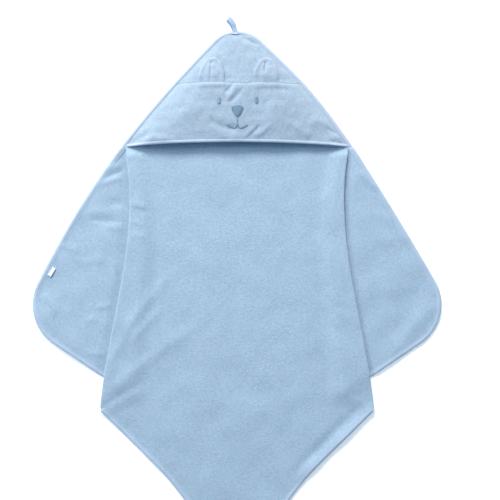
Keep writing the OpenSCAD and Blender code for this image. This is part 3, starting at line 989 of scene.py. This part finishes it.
def face():
    for side, (x, y) in EYES.items():
        eye = oval(EYE_HALF_WIDTH)
        satin(f"{side}_eye_satin", FACE_X + x, y, EYE_HALF_HEIGHT, eye, f"{side}_eye", EYE_THREAD)
    satin("nose_satin", FACE_X, NOSE_Y, NOSE_HALF_HEIGHT, nose_shape, "nose", EMBROIDERY)
    nose_outline()
    backstitch("mouth_stem_stitches", [(FACE_X, MOUTH_TOP), (FACE_X, MOUTH_FORK)], "mouth_stem")
    # Two loops that hang from the stem: s is 0 there and 1 at a corner of the mouth.
    s = np.linspace(-1, 1, 61)
    drop = SMILE_DROP * np.sin(np.radians(SMILE_SWEEP) * np.sqrt(np.abs(s)))
    smile = np.column_stack([FACE_X + SMILE_HALF * s, SMILE_TOP - drop])
    backstitch("mouth_smile_stitches", smile, "mouth_smile", step=3.8)


# ---------------------------------------------------------------- ears


def ear(side, name):
    """Two pile layers sewn round the edge; the front one has a padded rim and a crease."""
    cx, half = EAR_PLACES[side]
    v = np.linspace(0, 1, 48)[:, None] ** 0.9
    u = np.linspace(-1, 1, 57)[None, :]
    w = half * np.sqrt(np.maximum(1 - v**2.4, 0.0)) + 0.4
    x = cx + 2.5 * v**2 + u * w
    sewn = seam_y(cx + u * half) - 1.0
    y = sewn + (EAR_TOP - sewn) * v
    edge = np.minimum(w * (1 - np.abs(u)), (EAR_TOP - SEAM_MID) * (1 - v))
    low, high = (0.36, 0.88) if side > 0 else (-0.05, 0.9)
    crease = 2.0 * np.exp(-(((u + 0.07) / 0.12) ** 2))
    crease = crease * smooth((v - low) / 0.2) * smooth((high - v) / 0.14)
    dip = 0.7 * np.exp(-(((v - 0.78) / 0.1) ** 2) - (((u + 0.1) / 0.4) ** 2))
    padding = 1.1 * smooth(edge / 3) + 1.1 * smooth((edge - 8) / 12)
    padding = padding + 0.7 * np.exp(-(((edge - 5) / 4) ** 2))
    padding = (padding - crease - dip + ripple(x, y, 31 + side, 16, 0.7)) * (0.6 + 0.4 * smooth(v / 0.6))
    back = hood_z(x, np.maximum(y, sewn + 14)) + 0.5 + 0.8 * smooth(v / 0.6)
    # The back layer takes the darker copy of the pile: painted shade.
    for layer, z, cloth in (("back", back, BACK_SHADED_BLUE), ("front", back + 1.4 + padding, EAR)):
        obj = thick_sheet(f"{name}_{layer}_cloth", np.stack([x, y, z], 2), 1.6, cloth)
        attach(obj, name)
        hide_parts(f"{name}_{layer}")


# ---------------------------------------------------------------- loop and label


LOOP_WIDTH = 9.5
TACK_X, TACK_Y, TACK_Z = (-9.3, 0.9), (520.4, 523.4), 5.9
LABEL_SEW, LABEL_IN, LABEL_OUT = 10, -1.5, 6.5


def hanging_loop():
    """A folded tape that leans to the left; its lower layer shows a little at that side."""
    s = np.linspace(0, 1, 30)[:, None]
    start, bend, end = np.array([-3.6, 520]), np.array([-3.4, 543]), np.array([-17.4, 553.6])
    plan = start * (1 - s) ** 2 + bend * 2 * s * (1 - s) + end * s**2
    t = np.gradient(plan, axis=0)
    t /= np.linalg.norm(t, axis=1)[:, None]
    left = np.stack([-t[:, 1], t[:, 0]], 1)
    s = s[:, 0]
    upper = 5.7 + 1.2 * smooth((s - 0.3) / 0.3) - 0.9 * smooth((s - 0.8) / 0.2)
    lower = 1.9 - 1.3 * smooth((s - 0.15) / 0.3)
    # The bend at the end: how far past it, how high and how far to the left.
    tip = [(1.6, 4.9, 0.8), (2.2, 3.7, 1.0), (1.8, 2.3, 1.2), (1.0, 1.2, 1.4)]
    centre = list(plan) + [end + t[-1] * d + left[-1] * k for d, _, k in tip]
    centre += list((plan + left * 1.9)[::-1])
    sides = list(left) + [left[-1]] * 4 + list(left[::-1])
    heights = list(upper) + [z for _, z, _ in tip] + list(lower[::-1])
    w = np.linspace(-LOOP_WIDTH / 2, LOOP_WIDTH / 2, 9)
    grid = [[[*(c + n * k), z] for k in w] for c, n, z in zip(centre, sides, heights)]
    obj = thick_sheet("hanging_loop_tape", np.array(grid), 0.8, LOOP_TAPE)
    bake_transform(obj)
    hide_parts("hanging_loop")


def bar_tack():
    """A short bar of pale zigzag stitches over the loop's sewn end."""
    lines = []
    y = np.linspace(*TACK_Y, 5)
    z = TACK_Z + 0.8 * np.sin(np.linspace(0.15, math.pi - 0.15, 5))
    for k, x in enumerate(np.linspace(*TACK_X, 15)):
        lines.append(np.column_stack([x + 0.5 * (-1) ** k * np.linspace(-0.5, 0.5, 5), y, z]))
    obj = tubes("loop_tack_stitches", lines, 0.5, PALE_THREAD, sides=6)
    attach(obj, "hood")
    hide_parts("loop_bar_tack")


def care_label():
    """Blank folded label, sewn along the binding and lifting a little at its free edge."""
    pivot = HINGES["label_flip"][:2]
    along = np.array([-0.52, -0.854])
    into = np.array([0.854, -0.52])
    s = np.linspace(-LABEL_SEW, LABEL_SEW, 25)[:, None]
    t = np.linspace(LABEL_IN, LABEL_OUT, 11)[None, :]
    x = pivot[0] + along[0] * s + into[0] * t
    y = pivot[1] + along[1] * s + into[1] * t
    base = float(wing_z(pivot[0], pivot[1])) + 0.3
    z = base + 1.9 + 0.5 * smooth(t / 8) + 0.25 * np.sin(s / LABEL_SEW * 2.4) * (t / 8)
    obj = thick_sheet("blank_label", np.stack([x, y, z], 2), 0.9, LABEL)
    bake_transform(obj)
    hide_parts("care_label")


# ---------------------------------------------------------------- studio


def plain(name, rgb, rough, glow):
    """A smooth bright surface; `glow` stands for the light a studio adds from below."""
    s, rgb = Shader(name), linear(rgb)
    s.put(s.bsdf.inputs["Emission Color"], (*rgb, 1))
    s.put(s.bsdf.inputs["Emission Strength"], glow)
    grain = s.noise(9, 2, 0.5)
    tone = s.varied(grain, 0.995, 1.0)
    return s.finish(s.tinted(rgb, tone), grain, 0.0001, 0.05, rough, specular=0.1)


FLOOR_HALF, FLOOR_DROP = 7000, -0.35
# The camera looks straight down, as the photo was taken. Its view is in metres, 3 mm above the floor.
LENS, SENSOR, VIEW_WIDTH = 60, 36, 1.05
VIEW_CENTRE, VIEW_HEIGHT = (0.0273, 0.0683), 0.003
WARM, COOL = (1.0, 0.93, 0.84), (0.85, 0.93, 1.0)
# The backdrop changes between these heights of a unit direction.
HORIZON_TOP, OVERHEAD = 0.12, 0.45


def floor():
    corners = ((-1, -1), (1, -1), (1, 1), (-1, 1))
    verts = [(x * FLOOR_HALF, y * FLOOR_HALF, FLOOR_DROP) for x, y in corners]
    obj = make("studio_floor", verts, [[0, 1, 2, 3]], plain("floor_white", (251, 250, 251), 0.9, 0.3))


def camera():
    data = bpy.data.cameras.new("camera")
    data.lens = LENS
    data.sensor_width = SENSOR
    data.clip_end = 50
    obj = bpy.data.objects.new("camera", data)
    bpy.context.scene.collection.objects.link(obj)
    obj.location = (*VIEW_CENTRE, VIEW_WIDTH / 2 / (SENSOR / 2 / LENS) + VIEW_HEIGHT)
    obj.rotation_euler = (0, 0, 0)
    bpy.context.scene.camera = obj


def light(name, place, size, power, colour):
    """A square lamp, in metres and watts, that looks at the towel's middle."""
    data = bpy.data.lights.new(name, "AREA")
    data.shape = "SQUARE"
    data.size = size
    data.energy = power
    data.color = colour
    obj = bpy.data.objects.new(name, data)
    bpy.context.scene.collection.objects.link(obj)
    obj.location = place
    obj.rotation_mode = "QUATERNION"
    obj.rotation_quaternion = (-Vector(place)).to_track_quat("-Z", "Y")


def backdrop():
    """Bluish light from above that turns pale and bright towards the horizon."""
    world = bpy.data.worlds.new("studio")
    bpy.context.scene.world = world
    world.use_nodes = True
    nodes, links = world.node_tree.nodes, world.node_tree.links
    split = nodes.new("ShaderNodeSeparateXYZ")
    links.new(nodes.new("ShaderNodeTexCoord").outputs["Generated"], split.inputs[0])

    def ramp(at_horizon, above):
        node = nodes.new("ShaderNodeMapRange")
        node.interpolation_type = "SMOOTHSTEP"
        links.new(split.outputs["Z"], node.inputs["Value"])
        sockets = ("From Min", "From Max", "To Min", "To Max")
        for socket, value in zip(sockets, (HORIZON_TOP, OVERHEAD, at_horizon, above)):
            node.inputs[socket].default_value = value
        return node.outputs["Result"]

    tint = nodes.new("ShaderNodeCombineColor")
    for channel, at_horizon, above in (("Red", 0.96, 0.5), ("Green", 0.98, 0.76), ("Blue", 1.0, 1.0)):
        links.new(ramp(at_horizon, above), tint.inputs[channel])
    back = nodes["Background"]
    links.new(tint.outputs["Color"], back.inputs["Color"])
    links.new(ramp(0.95, 0.39), back.inputs["Strength"])


def studio():
    backdrop()
    light("key", (-1.0, 4.5, 2.8), 1.5, 350, WARM)
    light("left", (-3.0, 1.8, 2.1), 1.5, 84, COOL)
    light("right", (3.0, 2.0, 2.1), 1.5, 30, COOL)
    bpy.context.scene.view_settings.view_transform = "Standard"
    bpy.context.scene.view_settings.look = "None"


def main():
    camera()
    studio()
    floor()
    towel_middle()
    for side, name in ((-1, "left_wing"), (1, "right_wing")):
        wing_cloth(side, name)
        wing_binding(side, name)
    foot_cloth()
    foot_binding()
    hood_back()
    hood_face()
    hood_crown()
    crown_seam_tape()
    hood_hem()
    hood_binding()
    face()
    for side, name in ((-1, "left_ear"), (1, "right_ear")):
        ear(side, name)
    hanging_loop()
    bar_tack()
    care_label()


main()
